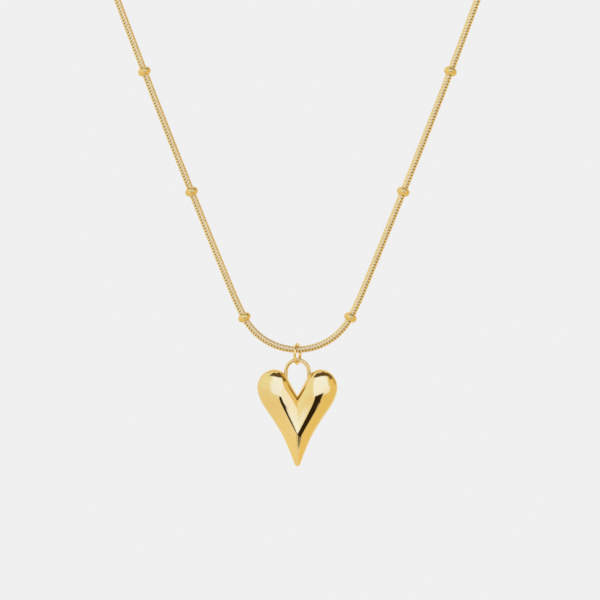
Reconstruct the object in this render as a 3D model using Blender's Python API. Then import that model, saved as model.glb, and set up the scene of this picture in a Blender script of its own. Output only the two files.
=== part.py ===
"""Heart pendant necklace, hanging as it does round a neck.

A round snake chain with rondelle beads hangs in a V. A jump ring round its lowest point carries
a hollow heart by a half-ring bail. Behind the neck a lobster clasp joins the chain's two end
caps, through a jump ring on one side and the first link of an extender chain on the other.

Frame: +Z up, the front of the necklace faces -Y. The origin is the middle of the neck opening,
level with the chain at the nape. Sizes are in millimetres; add_node turns them into metres.
"""

import math

import bmesh
import bpy
import numpy as np
from mathutils import Matrix, Vector

MM = 0.001

# Driving dimensions
CHAIN_RADIUS = 0.65
BEAD_RADIUS = 1.25
BEAD_LENGTH = 1.4
BEAD_EASE = 0.28  # how far a bead's eased corner reaches in from its side
BEAD_STATIONS = (12.5, 38.7, 63.5, 88.9, 114.3, 139.7, 165.1, 190.5)  # from the chain's lowest point
DROP_LEVELS = 4  # bead pairs that the hanging front bends at
NECK_DEPTH = 78.0
DROP = 118.0  # from the nape down to the chain's lowest point
HEART_FRONT_HEIGHT = 2.35
HEART_BACK_HEIGHT = 1.75
WIRE_RADIUS = 0.3

# The chain's front: (arc length from the lowest point, angle above level) in millimetres and degrees
FRONT_BEND = ((0.0, 0.0), (12.5, 62.3), (18.0, 67.5), (50.0, 68.5), (75.0, 69.6), (100.0, 69.8))
SHOULDER = Vector((52.0, -NECK_DEPTH / 2 + 24.0, -4.0))
SHOULDER_DIRECTION = Vector((0.10, 0.97, 0.22))
CHAIN_END = Vector((10.5, NECK_DEPTH / 2, 0.0))

FRONT_Y = -NECK_DEPTH / 2
LOW_POINT = Vector((0.0, FRONT_Y, -DROP))

# Clearances
TOUCH_GAP = 0.04
SWING_GAP = 0.25  # between a bead and the length of chain that swings below it
BORE_GAP = 0.06
ROUND_END = (0.45, 0.85, 1.2)  # angles, in radians, of the rings that round off a free end of chain

# Jump ring and bail, placed from the chain's lowest point
RING_RADIUS = 1.85
RING_DROP = 0.85
RING_TURN = math.radians(-16.0)
BAIL_RADIUS = 2.2
BAIL_WIRE = 0.33
BAIL_DROP = 4.22
BAIL_LEG = 0.3

# Heart outline, right half, as (x, z) from the chain's lowest point: the notch, the lobe, the tip
HEART_CURVE = (
    (0.0, -8.95),
    (1.0, -7.1),
    (2.05, -5.2),
    (3.2, -4.1),
    (4.87, -3.85),
    (6.75, -4.85),
    (7.7, -7.14),
    (6.95, -10.0),
    (4.77, -13.35),
    (2.8, -16.6),
    (1.29, -20.1),
    (0.5, -22.1),
    (0.0, -22.5),
)
HEART_CREST = ((4.5, -7.6), (3.6, -9.5), (2.35, -11.9), (1.2, -14.0), (0.0, -16.3))  # the right crest
LOBE_END = (6.1, -4.3)  # where the crest's line would leave the lobe
NOTCH_SLOPE = 0.545  # how the line of the notch runs on across the heart, dx/dz
HEART_WALL = 0.35
CREST_POWER = 0.6  # how the crest sinks as the heart narrows
CREST_SHARPNESS = 1.9
EDGE_FULLNESS = 0.62

# Clasp and end fittings, along X behind the neck
CAP_RADIUS = 0.95
CAP_LENGTH = 3.1
CAP_DEPTH = 2.6  # how far the chain goes into its cap
CAP_LOOP_RADIUS = 1.0
CLASP_RING_RADIUS = 1.7
LINK_WIRE = 0.4
LINK_HALF_LENGTH = 3.1
LINK_END_RADIUS = 1.8
LINK_COUNT = 7
LINK_1_DROP = 0.18
BALL_RADIUS = 2.0
BALL_EYE_RADIUS = 0.95
OVERLAP = 0.1  # how deep a loop is sunk into the fitting it belongs to

# Lobster clasp, in its own plane: distance from its eye end, height over its middle
CLASP_START_X = -6.4
EYE_RADIUS = 1.05
EYE_WIRE = 0.36
HOOK_CURVE = (  # the hook's spine as (along, up, radius)
    (2.35, 0.0, 0.8),
    (3.2, -0.25, 1.1),
    (4.4, -0.75, 1.05),
    (6.2, -1.5, 0.8),
    (8.3, -1.6, 0.7),
    (9.95, -0.9, 0.6),
    (10.15, 0.5, 0.55),
    (9.2, 1.55, 0.42),
)
LEVER_CURVE = (  # the lever's outline: the thumb tab, the gate's outside, its tip, its inside, the tail
    (2.3, 1.35),
    (2.95, 1.8),
    (3.7, 1.2),
    (5.6, 1.2),
    (8.1, 1.5),
    (8.45, 1.3),
    (8.3, 1.0),
    (5.8, 0.55),
    (4.5, -0.15),
    (3.7, -0.3),
    (3.2, 0.25),
    (2.95, 0.85),
    (2.3, 1.35),
)
SLOT_ALONG = (2.8, 5.4)
SLOT_FLOOR = -0.75
SLOT_WIDTH = 0.9
RIVET_ALONG = 3.9
RIVET_UP = 0.2
RIVET_RADIUS = 0.28
RIVET_LENGTH = 2.1
CUTTER_LENGTH = 4.0  # of the tools that cut right through the clasp
SPRING_ALONG = 4.9
SPRING_RADIUS = 0.28
SPRING_WIRE = 0.05
SPRING_HEIGHT = 0.55

GOLD = (0.86, 0.62, 0.26)
X_AXIS = Vector((1.0, 0.0, 0.0))
Y_AXIS = Vector((0.0, 1.0, 0.0))
Z_AXIS = Vector((0.0, 0.0, 1.0))
BACK = Y_AXIS * NECK_DEPTH / 2
BAIL_CENTRE = LOW_POINT - Z_AXIS * BAIL_DROP
CLASP_START = BACK + X_AXIS * CLASP_START_X
CLASP_PIVOT = CLASP_START + X_AXIS * (2 * EYE_WIRE)
RIVET_CENTRE = CLASP_START + Vector((RIVET_ALONG, 0.0, RIVET_UP))


def clear_scene():
    for obj in list(bpy.data.objects):
        bpy.data.objects.remove(obj, do_unlink=True)


def gold(name, roughness, colour=GOLD):
    """A metal material of its own for one kind of piece."""
    material = bpy.data.materials.get(name)
    if material is None:
        material = bpy.data.materials.new(name)
        material.use_nodes = True
        shader = material.node_tree.nodes["Principled BSDF"]
        shader.inputs["Base Color"].default_value = (*colour, 1.0)
        shader.inputs["Metallic"].default_value = 1.0
        shader.inputs["Roughness"].default_value = roughness
    return material


# ---------------------------------------------------------------- mesh helpers


def add_node(name, points, faces, material, pivot=None, smooth_angle=35.0):
    """One object from points in millimetres, with its origin on its joint's axis."""
    pivot = Vector(pivot) if pivot is not None else Vector((0.0, 0.0, 0.0))
    mesh = bpy.data.meshes.new(name)
    mesh.from_pydata([(Vector(point) - pivot) * MM for point in points], [], faces)
    work = bmesh.new()
    work.from_mesh(mesh)
    bmesh.ops.remove_doubles(work, verts=work.verts, dist=1e-6)
    bmesh.ops.recalc_face_normals(work, faces=work.faces)
    work.to_mesh(mesh)
    work.free()
    mesh.shade_smooth()
    mesh.set_sharp_from_angle(angle=math.radians(smooth_angle))
    mesh.materials.append(material)
    obj = bpy.data.objects.new(name, mesh)
    obj.location = pivot * MM
    bpy.context.scene.collection.objects.link(obj)
    return obj


def combine(obj, tool, operation):
    """Joins or cuts with a helper object, which stays hidden."""
    tool.hide_render = True
    tool.display_type = "WIRE"
    modifier = obj.modifiers.new(tool.name, "BOOLEAN")
    modifier.operation = operation
    modifier.solver = "EXACT"
    modifier.object = tool


def frames_along(path, closed):
    """A side and an up direction at each point of a path, turned as little as possible."""
    count = len(path)
    frames = []
    side = None
    for index, point in enumerate(path):
        ahead = path[(index + 1) % count] if closed or index < count - 1 else point
        behind = path[index - 1] if closed or index > 0 else point
        direction = (ahead - behind).normalized()
        if side is None:
            guide = Z_AXIS if abs(direction.z) < 0.9 else Y_AXIS
            side = direction.cross(guide).normalized()
        side = (side - direction * side.dot(direction)).normalized()
        frames.append((side, direction.cross(side)))
    return frames


def swept(path, radii, sides, closed=False):
    """A round wire along a path, as points and faces. An open one has flat ends."""
    path = [Vector(point) for point in path]
    points = []
    faces = []
    for centre, radius, (side, up) in zip(path, radii, frames_along(path, closed)):
        for index in range(sides):
            angle = 2.0 * math.pi * index / sides
            points.append(centre + (side * math.cos(angle) + up * math.sin(angle)) * radius)
    rings = len(path)
    for ring in range(rings if closed else rings - 1):
        following = (ring + 1) % rings
        for index in range(sides):
            beside = (index + 1) % sides
            faces.append(
                (
                    ring * sides + index,
                    ring * sides + beside,
                    following * sides + beside,
                    following * sides + index,
                )
            )
    if not closed:
        faces.append(tuple(range(sides))[::-1])
        faces.append(tuple((rings - 1) * sides + index for index in range(sides)))
    return points, faces


def turned(profile, centre, axis, sides):
    """A closed (radius, height) profile turned about an axis through centre."""
    axis = Vector(axis).normalized()
    turn = axis.to_track_quat("Z", "Y").to_matrix()
    points = []
    faces = []
    count = len(profile)
    for index in range(sides):
        angle = 2.0 * math.pi * index / sides
        for radius, height in profile:
            local = Vector((radius * math.cos(angle), radius * math.sin(angle), height))
            points.append(Vector(centre) + turn @ local)
    for index in range(sides):
        beside = (index + 1) % sides
        for step in range(count):
            following = (step + 1) % count
            faces.append(
                (
                    index * count + step,
                    beside * count + step,
                    beside * count + following,
                    index * count + following,
                )
            )
    return points, faces


def circle(centre, radius, normal, steps, start=0.0, sweep=2.0 * math.pi):
    """Points on a circle or an arc, counted from its top, or from +X where it lies level."""
    normal = Vector(normal).normalized()
    guide = X_AXIS if abs(normal.z) > 0.9 else Z_AXIS
    first = (guide - normal * guide.dot(normal)).normalized()
    second = normal.cross(first)
    last = steps if sweep >= 2.0 * math.pi - 1e-9 else steps - 1
    angles = [start + sweep * step / last for step in range(steps)]
    return [Vector(centre) + (first * math.cos(a) + second * math.sin(a)) * radius for a in angles]


def wire_ring(name, centre, radius, wire, normal, material, pivot=None, steps=24, sides=6):
    path = circle(centre, radius, normal, steps)
    points, faces = swept(path, [wire] * steps, sides, closed=True)
    return add_node(name, points, faces, material, pivot, 60.0)


def small_loop(name, centre, radius, wire, normal, material):
    """The little ring of a fitting, which is joined to the fitting afterwards."""
    return wire_ring(name, centre, radius, wire, normal, material, None, 20, 8)


# ---------------------------------------------------------------- the chain's route


def bezier(start, start_handle, end_handle, end, steps):
    """Points on a cubic Bezier curve, without its first."""
    found = []
    for step in range(1, steps + 1):
        t = step / steps
        u = 1.0 - t
        found.append(start * u**3 + start_handle * 3 * u * u * t + end_handle * 3 * u * t * t + end * t**3)
    return found


def chain_route():
    """The right half of the chain, from its lowest point to the nape, as dense points."""
    step = 0.25
    position = LOW_POINT.copy()
    route = [position.copy()]
    stations = [bend[0] for bend in FRONT_BEND]
    angles = [bend[1] for bend in FRONT_BEND]
    length = stations[-1]
    for index in range(int(length / step)):
        angle = math.radians(np.interp((index + 0.5) * step, stations, angles))
        position = position + Vector((math.cos(angle), 0.0, math.sin(angle))) * step
        route.append(position.copy())
    leaving = (route[-1] - route[-2]).normalized()
    aside = SHOULDER_DIRECTION.normalized()
    route += bezier(position, position + leaving * 15.0, SHOULDER - aside * 14.0, SHOULDER, 120)
    entering = CHAIN_END + X_AXIS * (CAP_DEPTH + 0.8)
    route += bezier(SHOULDER, SHOULDER + aside * 30.0, entering + X_AXIS * 24.0, entering, 240)
    route += [entering + (CHAIN_END - entering) * share for share in np.linspace(0.1, 1.0, 10)]
    return route


ROUTE = chain_route()
ROUTE_LENGTHS = np.concatenate(
    [[0.0], np.cumsum([(after - before).length for before, after in zip(ROUTE, ROUTE[1:])])]
)
HALF_LENGTH = float(ROUTE_LENGTHS[-1])


def on_chain(station, side):
    """The centre of the chain at a station; side is +1 right, -1 left."""
    found = [np.interp(station, ROUTE_LENGTHS, [point[axis] for point in ROUTE]) for axis in range(3)]
    return Vector((found[0] * side, found[1], found[2]))


def along_chain(station, side):
    """The direction in which the chain leaves the lowest point, at a station."""
    return (on_chain(station + 0.3, side) - on_chain(station - 0.3, side)).normalized()


def level_pivot(level):
    """A point midway between the two beads of a level, which the front bends about."""
    bead = on_chain(BEAD_STATIONS[level - 1], 1)
    return Vector((0.0, bead.y, bead.z))


def body_pivot(segment):
    """The pivot of the body that a length of chain belongs to, or the origin on the neck part."""
    return level_pivot(segment + 1) if segment < DROP_LEVELS else None


def chain_length(segment, side, material):
    """The chain between one bead and the next, passing through the lower bead to its far face."""
    bottom = BEAD_STATIONS[segment - 1] - BEAD_LENGTH / 2
    above = BEAD_STATIONS[segment] if segment < len(BEAD_STATIONS) else None
    top = above - BEAD_LENGTH / 2 - SWING_GAP if above else HALF_LENGTH
    straight = above is not None and segment < DROP_LEVELS - 1
    steps = 7 if straight else 10
    stations = list(np.linspace(bottom, top - CHAIN_RADIUS if above else top, steps))
    pairs = [(station, CHAIN_RADIUS) for station in stations]
    if above:
        start = top - CHAIN_RADIUS
        pairs += [
            (start + CHAIN_RADIUS * math.sin(angle), CHAIN_RADIUS * math.cos(angle)) for angle in ROUND_END
        ]
    path = [on_chain(station, side) for station, _ in pairs]
    points, faces = swept(path, [radius for _, radius in pairs], 10)
    name = f"chain_{'right' if side > 0 else 'left'}_{segment}"
    add_node(name, points, faces, material, body_pivot(segment))


def chain_bottom(material):
    """The curved length between the lowest pair of beads, with both ends half round."""
    reach = BEAD_STATIONS[0] - BEAD_LENGTH / 2 - SWING_GAP
    start = reach - CHAIN_RADIUS
    ends = [
        (start + CHAIN_RADIUS * math.sin(angle), CHAIN_RADIUS * math.cos(angle)) for angle in ROUND_END[::-1]
    ]
    middle = [(station, CHAIN_RADIUS) for station in np.linspace(start, 0.0, 9)]
    half = ends + middle
    path = [on_chain(station, -1) for station, _ in half]
    path += [on_chain(station, 1) for station, _ in half[-2::-1]]
    radii = [radius for _, radius in half] + [radius for _, radius in half[-2::-1]]
    points, faces = swept(path, radii, 10)
    add_node("chain_bottom", points, faces, material, level_pivot(1))


def bead(level, side, material):
    """A rondelle with a bore that the chain passes through."""
    bore = CHAIN_RADIUS + BORE_GAP
    half = BEAD_LENGTH / 2
    upper = [
        (BEAD_RADIUS - 0.04, 0.22),
        (BEAD_RADIUS - BEAD_EASE, half - 0.08),
        (bore + 0.14, half),
        (bore, half - 0.02),
    ]
    profile = [(radius, -height) for radius, height in upper[::-1]] + upper
    station = BEAD_STATIONS[level - 1]
    points, faces = turned(profile, on_chain(station, side), along_chain(station, side), 12)
    name = f"bead_{'right' if side > 0 else 'left'}_{level}"
    add_node(name, points, faces, material, body_pivot(level))


# ---------------------------------------------------------------- the heart


def smooth_curve(corners, per_span):
    """A Catmull-Rom curve through the corners, with free ends."""
    padded = [2 * corners[0] - corners[1], *corners, 2 * corners[-1] - corners[-2]]
    found = [corners[0]]
    for index in range(1, len(padded) - 2):
        before, start, end, after = padded[index - 1 : index + 3]
        for step in range(1, per_span + 1):
            t = step / per_span
            found.append(
                0.5
                * (
                    2 * start
                    + (end - before) * t
                    + (2 * before - 5 * start + 4 * end - after) * t * t
                    + (3 * start - 3 * end + after - before) * t**3
                )
            )
    return found


def half_outline(per_span):
    """The right half of the heart's outline, from the notch over the lobe to the tip."""
    corners = [np.array(corner) for corner in HEART_CURVE]
    mirrored_next = np.array((-HEART_CURVE[-2][0], HEART_CURVE[-2][1]))
    curve = smooth_curve([*corners, mirrored_next], per_span)
    return np.array(curve[:-per_span])


def nearest(line, point):
    return line[int(np.argmin(np.linalg.norm(line - point, axis=1)))]


def half_rows(outline, per_span, fan):
    """Rows over the right half, from lobe to tip, as (outer foot, crest, inner foot, radius)."""
    crest = smooth_curve([np.array(corner) for corner in HEART_CREST], per_span)
    notch = outline[0]
    tip = outline[-1]
    line_end = notch + np.array((-NOTCH_SLOPE, -1.0)) * 7.0
    notch_line = notch + np.linspace(1.0, 0.0, 300)[:-1, None] * (line_end - notch)
    split = int(np.argmin(np.linalg.norm(outline - LOBE_END, axis=1)))
    inner_edge = np.concatenate([notch_line, outline[: split + 1]])
    outer_edge = outline[split:]

    rows = []
    for middle in crest:
        outer = nearest(outer_edge, middle)
        rows.append((outer, middle, nearest(inner_edge, middle), float(np.linalg.norm(outer - middle))))
    junction = crest[-1]
    for share in np.linspace(0.0, 1.0, 2 * per_span + 1)[1:-1]:
        middle = junction + (tip - junction) * share
        outer = nearest(outer_edge, middle)
        rows.append((outer, middle, middle, float(np.linalg.norm(outer - middle))))
    rows.append((tip, tip, tip, 0.0))

    outer, middle, inner, radius = rows[0]
    outer_index = int(np.argmin(np.linalg.norm(outline - outer, axis=1)))
    inner_index = int(np.argmin(np.linalg.norm(outline - inner, axis=1)))
    lobe = []
    for share in np.linspace(0.0, 1.0, fan + 1)[:-1]:
        right = outline[int(round(split + (outer_index - split) * share))]
        left = outline[int(round(split + (inner_index - split) * share))]
        lobe.append((right, middle, left, radius))
    return lobe + rows


def mixed(before, after, share):
    return tuple(a + (b - a) * share for a, b in zip(before, after))


def inset_share(radius, inset):
    return min(inset / radius, 0.6) if radius > 1e-6 else 0.0


def with_notch_row(rows, inset):
    """Adds the row whose inner foot lies on the heart's middle line, where the notch closes."""
    reach = []
    for outer, crest, inner, radius in rows:
        reach.append((inner + (crest - inner) * inset_share(radius, inset))[0])
    for index in range(1, len(rows)):
        if reach[index - 1] > 0.0 >= reach[index]:
            share = reach[index - 1] / (reach[index - 1] - reach[index])
            return rows[:index] + [mixed(rows[index - 1], rows[index], share)] + rows[index:]
    return rows


def dome(rows, rings, height, inset=0.0):
    """Points of the right half's surface, one list for each row, as (x, z, height)."""
    widest = max(row[3] for row in rows)
    rising = np.linspace(0.0, 1.0, rings + 1)
    falling = rising[-2::-1]
    surface = []
    for outer, crest, inner, radius in with_notch_row(rows, inset):
        start = inset_share(radius, inset)
        top = height * (radius / widest) ** CREST_POWER
        points = []
        for foot, shares in ((outer, rising), (inner, falling)):
            for share in shares:
                position = foot + (crest - foot) * (start + (1.0 - start) * share)
                points.append([position[0], position[1], top * slope_share(share)])
        surface.append(clipped(points))
    return surface


def clipped(points):
    """Holds the points of a row on the right of the heart's middle line."""
    for index, point in enumerate(points):
        if point[0] >= 0.0:
            continue
        inside = points[index - 1]
        share = inside[0] / (inside[0] - point[0]) if inside[0] > 0.0 else 0.0
        edge = [0.0, inside[1] + (point[1] - inside[1]) * share, inside[2] + (point[2] - inside[2]) * share]
        return points[:index] + [list(edge) for _ in points[index:]]
    return points


def slope_share(share):
    """Height along a spoke, from 0 at the edge to 1 on the crest."""
    return (1.0 - (1.0 - share) ** CREST_SHARPNESS) ** EDGE_FULLNESS


def half_heart(name, rows, rings, height, facing, material, inset=0.0, sink=0.0):
    """One closed half of the heart, flat on the seam; facing is -1 for the front, +1 for the back."""
    surface = dome(rows, rings, height, inset)
    columns = 2 * rings + 1
    points = []
    faces = []
    for mirror in (1.0, -1.0):
        offset = len(points)
        for row in surface:
            for x, z, up in row:
                depth = facing * (up - sink + TOUCH_GAP / 2)
                points.append(LOW_POINT + Vector((x * mirror, depth, z)))
        for row in range(len(surface) - 1):
            for column in range(columns - 1):
                corner = offset + row * columns + column
                faces.append((corner, corner + 1, corner + columns + 1, corner + columns))
    obj = add_node(name, points, faces, material, BAIL_CENTRE, 25.0)
    work = bmesh.new()
    work.from_mesh(obj.data)
    bmesh.ops.dissolve_degenerate(work, edges=work.edges, dist=1e-7)
    rim = [edge for edge in work.edges if edge.is_boundary]
    bmesh.ops.contextual_create(work, geom=rim)
    bmesh.ops.recalc_face_normals(work, faces=work.faces)
    bmesh.ops.triangulate(work, faces=work.faces)
    work.to_mesh(obj.data)
    work.free()
    return obj


def heart_shell(name, rows, height, facing, material):
    """A hollow half of the heart, open at the seam."""
    shell = half_heart(name, rows, 4, height, facing, material)
    hollow = half_heart(f"{name}_hollow", rows, 3, height * 0.88, facing, material, HEART_WALL, 0.12)
    combine(shell, hollow, "DIFFERENCE")


def heart(material):
    rows = half_rows(half_outline(40), 3, 6)
    heart_shell("heart_front_shell", rows, HEART_FRONT_HEIGHT, -1.0, material)
    heart_shell("heart_back_shell", rows, HEART_BACK_HEIGHT, 1.0, material)


def bail(material):
    """The half ring that stands on the heart's lobes."""
    arch = circle(BAIL_CENTRE, BAIL_RADIUS, Y_AXIS, 17, -math.pi / 2, math.pi)
    leg = Z_AXIS * BAIL_LEG
    path = [arch[0] - leg, *arch, arch[-1] - leg]
    points, faces = swept(path, [BAIL_WIRE] * len(path), 10)
    add_node("heart_bail", points, faces, material, BAIL_CENTRE, 60.0)


def pendant_ring(material):
    normal = Vector((math.cos(RING_TURN), math.sin(RING_TURN), 0.0))
    centre = LOW_POINT - Z_AXIS * RING_DROP
    wire_ring("pendant_ring", centre, RING_RADIUS, WIRE_RADIUS, normal, material, LOW_POINT, 28, 8)


# ---------------------------------------------------------------- behind the neck


def end_cap(side, material):
    """A crimped cap on the end of the chain, closed by a loop in an upright plane."""
    bore = CHAIN_RADIUS + BORE_GAP
    profile = [
        (bore, 0.08),
        (bore + 0.1, 0.0),
        (CAP_RADIUS - 0.1, 0.0),
        (CAP_RADIUS, 0.1),
        (CAP_RADIUS, CAP_LENGTH - 0.35),
        (CAP_RADIUS - 0.35, CAP_LENGTH),
        (0.0, CAP_LENGTH),
        (0.0, CAP_DEPTH + BORE_GAP),
        (bore, CAP_DEPTH + BORE_GAP),
    ]
    start = BACK + X_AXIS * side * (CHAIN_END.x + CAP_DEPTH)
    points, faces = turned(profile, start, X_AXIS * -side, 16)
    name = f"end_cap_{'right' if side > 0 else 'left'}"
    cap = add_node(name, points, faces, material)
    reach = CHAIN_END.x + CAP_DEPTH - CAP_LENGTH - CAP_LOOP_RADIUS + OVERLAP
    loop_centre = BACK + X_AXIS * side * reach
    loop = small_loop(f"{name}_loop", loop_centre, CAP_LOOP_RADIUS, WIRE_RADIUS, Y_AXIS, material)
    combine(cap, loop, "UNION")
    return loop_centre


def oval(centre, long_axis, flat_axis):
    """The centreline of an oval link: two straight sides with half-round ends."""
    straight = LINK_HALF_LENGTH - LINK_END_RADIUS
    path = []
    for end in (1.0, -1.0):
        for step in range(7):
            angle = math.pi * step / 6 - math.pi / 2
            local = long_axis * (math.cos(angle) * LINK_END_RADIUS + straight) + flat_axis * (
                math.sin(angle) * LINK_END_RADIUS
            )
            path.append(centre + local * end)
    return path


def link(name, centre, long_axis, flat_axis, pivot, material):
    path = oval(centre, long_axis, flat_axis)
    points, faces = swept(path, [LINK_WIRE] * len(path), 6, closed=True)
    add_node(name, points, faces, material, pivot, 60.0)


def extender(cap_loop, material):
    """Link 1 lies level between the clasp and the right cap; the others hang from its rear side."""
    slack = CAP_LOOP_RADIUS - WIRE_RADIUS - LINK_WIRE - TOUCH_GAP
    reach = math.sqrt(slack**2 - LINK_1_DROP**2)
    far_wire = cap_loop - X_AXIS * reach - Z_AXIS * LINK_1_DROP
    centre = far_wire - X_AXIS * LINK_HALF_LENGTH
    link("extender_link_1", centre, X_AXIS, Y_AXIS, far_wire, material)
    inner = LINK_HALF_LENGTH - LINK_WIRE
    pivot = centre + Y_AXIS * LINK_END_RADIUS
    hung = pivot - Z_AXIS * (inner - LINK_WIRE - TOUCH_GAP)
    for number in range(2, LINK_COUNT + 1):
        flat = Y_AXIS if number % 2 == 0 else X_AXIS
        link(f"extender_link_{number}", hung, Z_AXIS, flat, pivot, material)
        pivot = hung - Z_AXIS * LINK_HALF_LENGTH
        hung = hung - Z_AXIS * (2 * inner - TOUCH_GAP)
    end_ball(pivot, LINK_COUNT % 2 == 0, material)


def end_ball(pivot, last_faces_x, material):
    """A ball with a small loop through the last link."""
    normal = Y_AXIS if last_faces_x else X_AXIS
    eye_centre = pivot - Z_AXIS * (BALL_EYE_RADIUS - WIRE_RADIUS - LINK_WIRE - TOUCH_GAP)
    ball_centre = eye_centre - Z_AXIS * (BALL_EYE_RADIUS + BALL_RADIUS - 0.15)
    angles = np.linspace(0.0, math.pi, 11)
    profile = [(BALL_RADIUS * math.sin(angle), -BALL_RADIUS * math.cos(angle)) for angle in angles]
    points, faces = turned(profile, ball_centre, Z_AXIS, 18)
    ball = add_node("extender_ball", points, faces, material, pivot)
    loop = small_loop("extender_ball_loop", eye_centre, BALL_EYE_RADIUS, WIRE_RADIUS, normal, material)
    combine(ball, loop, "UNION")


def clasp_point(along, up):
    """A point in the clasp's own flat plane: distance from its eye end, height over its middle."""
    return CLASP_START + Vector((along, 0.0, up))


def clasp_hook(material):
    """The cast body: an eye, a thick slotted root and a hook that curves under to its nose."""
    path = smooth_curve([np.array(point) for point in HOOK_CURVE], 4)
    spine = [clasp_point(along, up) for along, up, _ in path]
    points, faces = swept(spine, [radius for _, _, radius in path], 12)
    body = add_node("clasp_body", points, faces, material, CLASP_PIVOT)
    eye_centre = clasp_point(EYE_RADIUS + EYE_WIRE, 0.0)
    eye = small_loop("clasp_eye", eye_centre, EYE_RADIUS, EYE_WIRE, Y_AXIS, material)
    combine(body, eye, "UNION")
    combine(body, slot_cutter(material), "DIFFERENCE")
    combine(body, pin("clasp_bore", RIVET_RADIUS + TOUCH_GAP, CUTTER_LENGTH, material), "DIFFERENCE")


def box(name, low, high, material):
    corners = [Vector((x, y, z)) for x in (low.x, high.x) for y in (low.y, high.y) for z in (low.z, high.z)]
    faces = [(0, 1, 3, 2), (4, 6, 7, 5), (0, 4, 5, 1), (2, 3, 7, 6), (0, 2, 6, 4), (1, 5, 7, 3)]
    return add_node(name, corners, faces, material)


def slot_cutter(material):
    """The slot in the clasp's root that the lever and its spring sit in."""
    low = clasp_point(SLOT_ALONG[0], SLOT_FLOOR) - Y_AXIS * SLOT_WIDTH / 2
    high = clasp_point(SLOT_ALONG[1], CUTTER_LENGTH) + Y_AXIS * SLOT_WIDTH / 2
    return box("clasp_slot", low, high, material)


def pin(name, radius, length, material, pivot=None):
    profile = [(0.0, -length / 2), (radius, -length / 2), (radius, length / 2), (0.0, length / 2)]
    points, faces = turned(profile, RIVET_CENTRE, Y_AXIS, 16)
    return add_node(name, points, faces, material, pivot)


def clasp_lever(material):
    """The gate: it closes the hook from the pivot to the nose, with a thumb tab over the root."""
    half = SLOT_WIDTH / 2 - 0.05
    outline = smooth_curve([np.array(point) for point in LEVER_CURVE], 3)
    front = [clasp_point(along, up) - Y_AXIS * half for along, up in outline[:-1]]
    back = [point + Y_AXIS * half * 2 for point in front]
    count = len(front)
    faces = [tuple(range(count)), tuple(range(count, 2 * count))[::-1]]
    faces += [(i, (i + 1) % count, (i + 1) % count + count, i + count) for i in range(count)]
    lever = add_node("clasp_lever", front + back, faces, material, RIVET_CENTRE, 40.0)
    combine(lever, pin("lever_bore", RIVET_RADIUS + TOUCH_GAP, CUTTER_LENGTH, material), "DIFFERENCE")


def clasp_spring(material):
    """A small coil between the slot's floor and the lever's tail."""
    turns = 3
    steps = 30
    foot = clasp_point(SPRING_ALONG, SLOT_FLOOR + SPRING_WIRE + TOUCH_GAP)
    path = []
    for step in range(steps + 1):
        angle = 2 * math.pi * turns * step / steps
        radial = X_AXIS * math.cos(angle) + Y_AXIS * math.sin(angle)
        path.append(foot + radial * SPRING_RADIUS + Z_AXIS * (SPRING_HEIGHT * step / steps))
    points, faces = swept(path, [SPRING_WIRE] * len(path), 6)
    add_node("clasp_spring", points, faces, material, CLASP_PIVOT, 60.0)


def clasp(cap_loop, materials):
    """The jump ring on the left cap, and the clasp that it carries."""
    reach = CAP_LOOP_RADIUS - 2 * WIRE_RADIUS - TOUCH_GAP
    ring_centre = cap_loop + X_AXIS * (reach + CLASP_RING_RADIUS)
    wire = materials["wire"]
    wire_ring("clasp_ring", ring_centre, CLASP_RING_RADIUS, WIRE_RADIUS, Z_AXIS, wire, cap_loop)
    clasp_hook(materials["cast"])
    clasp_lever(materials["cast"])
    pin("clasp_rivet", RIVET_RADIUS, RIVET_LENGTH, wire, CLASP_PIVOT)
    clasp_spring(materials["steel"])


def main():
    clear_scene()
    materials = {
        "chain": gold("plated_chain", 0.25),
        "bead": gold("bead_gold", 0.15),
        "heart": gold("heart_gold", 0.08),
        "wire": gold("wire_gold", 0.18),
        "cast": gold("cast_gold", 0.2),
        "steel": gold("spring_steel", 0.3, (0.72, 0.7, 0.66)),
    }
    chain_bottom(materials["chain"])
    for side in (-1.0, 1.0):
        for number in range(1, len(BEAD_STATIONS) + 1):
            chain_length(number, side, materials["chain"])
            bead(number, side, materials["bead"])
    pendant_ring(materials["wire"])
    bail(materials["wire"])
    heart(materials["heart"])
    left_loop = end_cap(-1.0, materials["cast"])
    right_loop = end_cap(1.0, materials["cast"])
    clasp(left_loop, materials)
    extender(right_loop, materials["wire"])


main()
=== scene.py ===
"""The looks of the heart pendant necklace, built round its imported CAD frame.

Every piece is modelled afresh at jewellery finish: the chain as nested ribs, the heart as a
polished puffed dome with its two crests, rings with their cut, and a cast lobster clasp.
Sizes are in millimetres in the CAD's own frame; add_piece turns them into metres.
"""

import math

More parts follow.
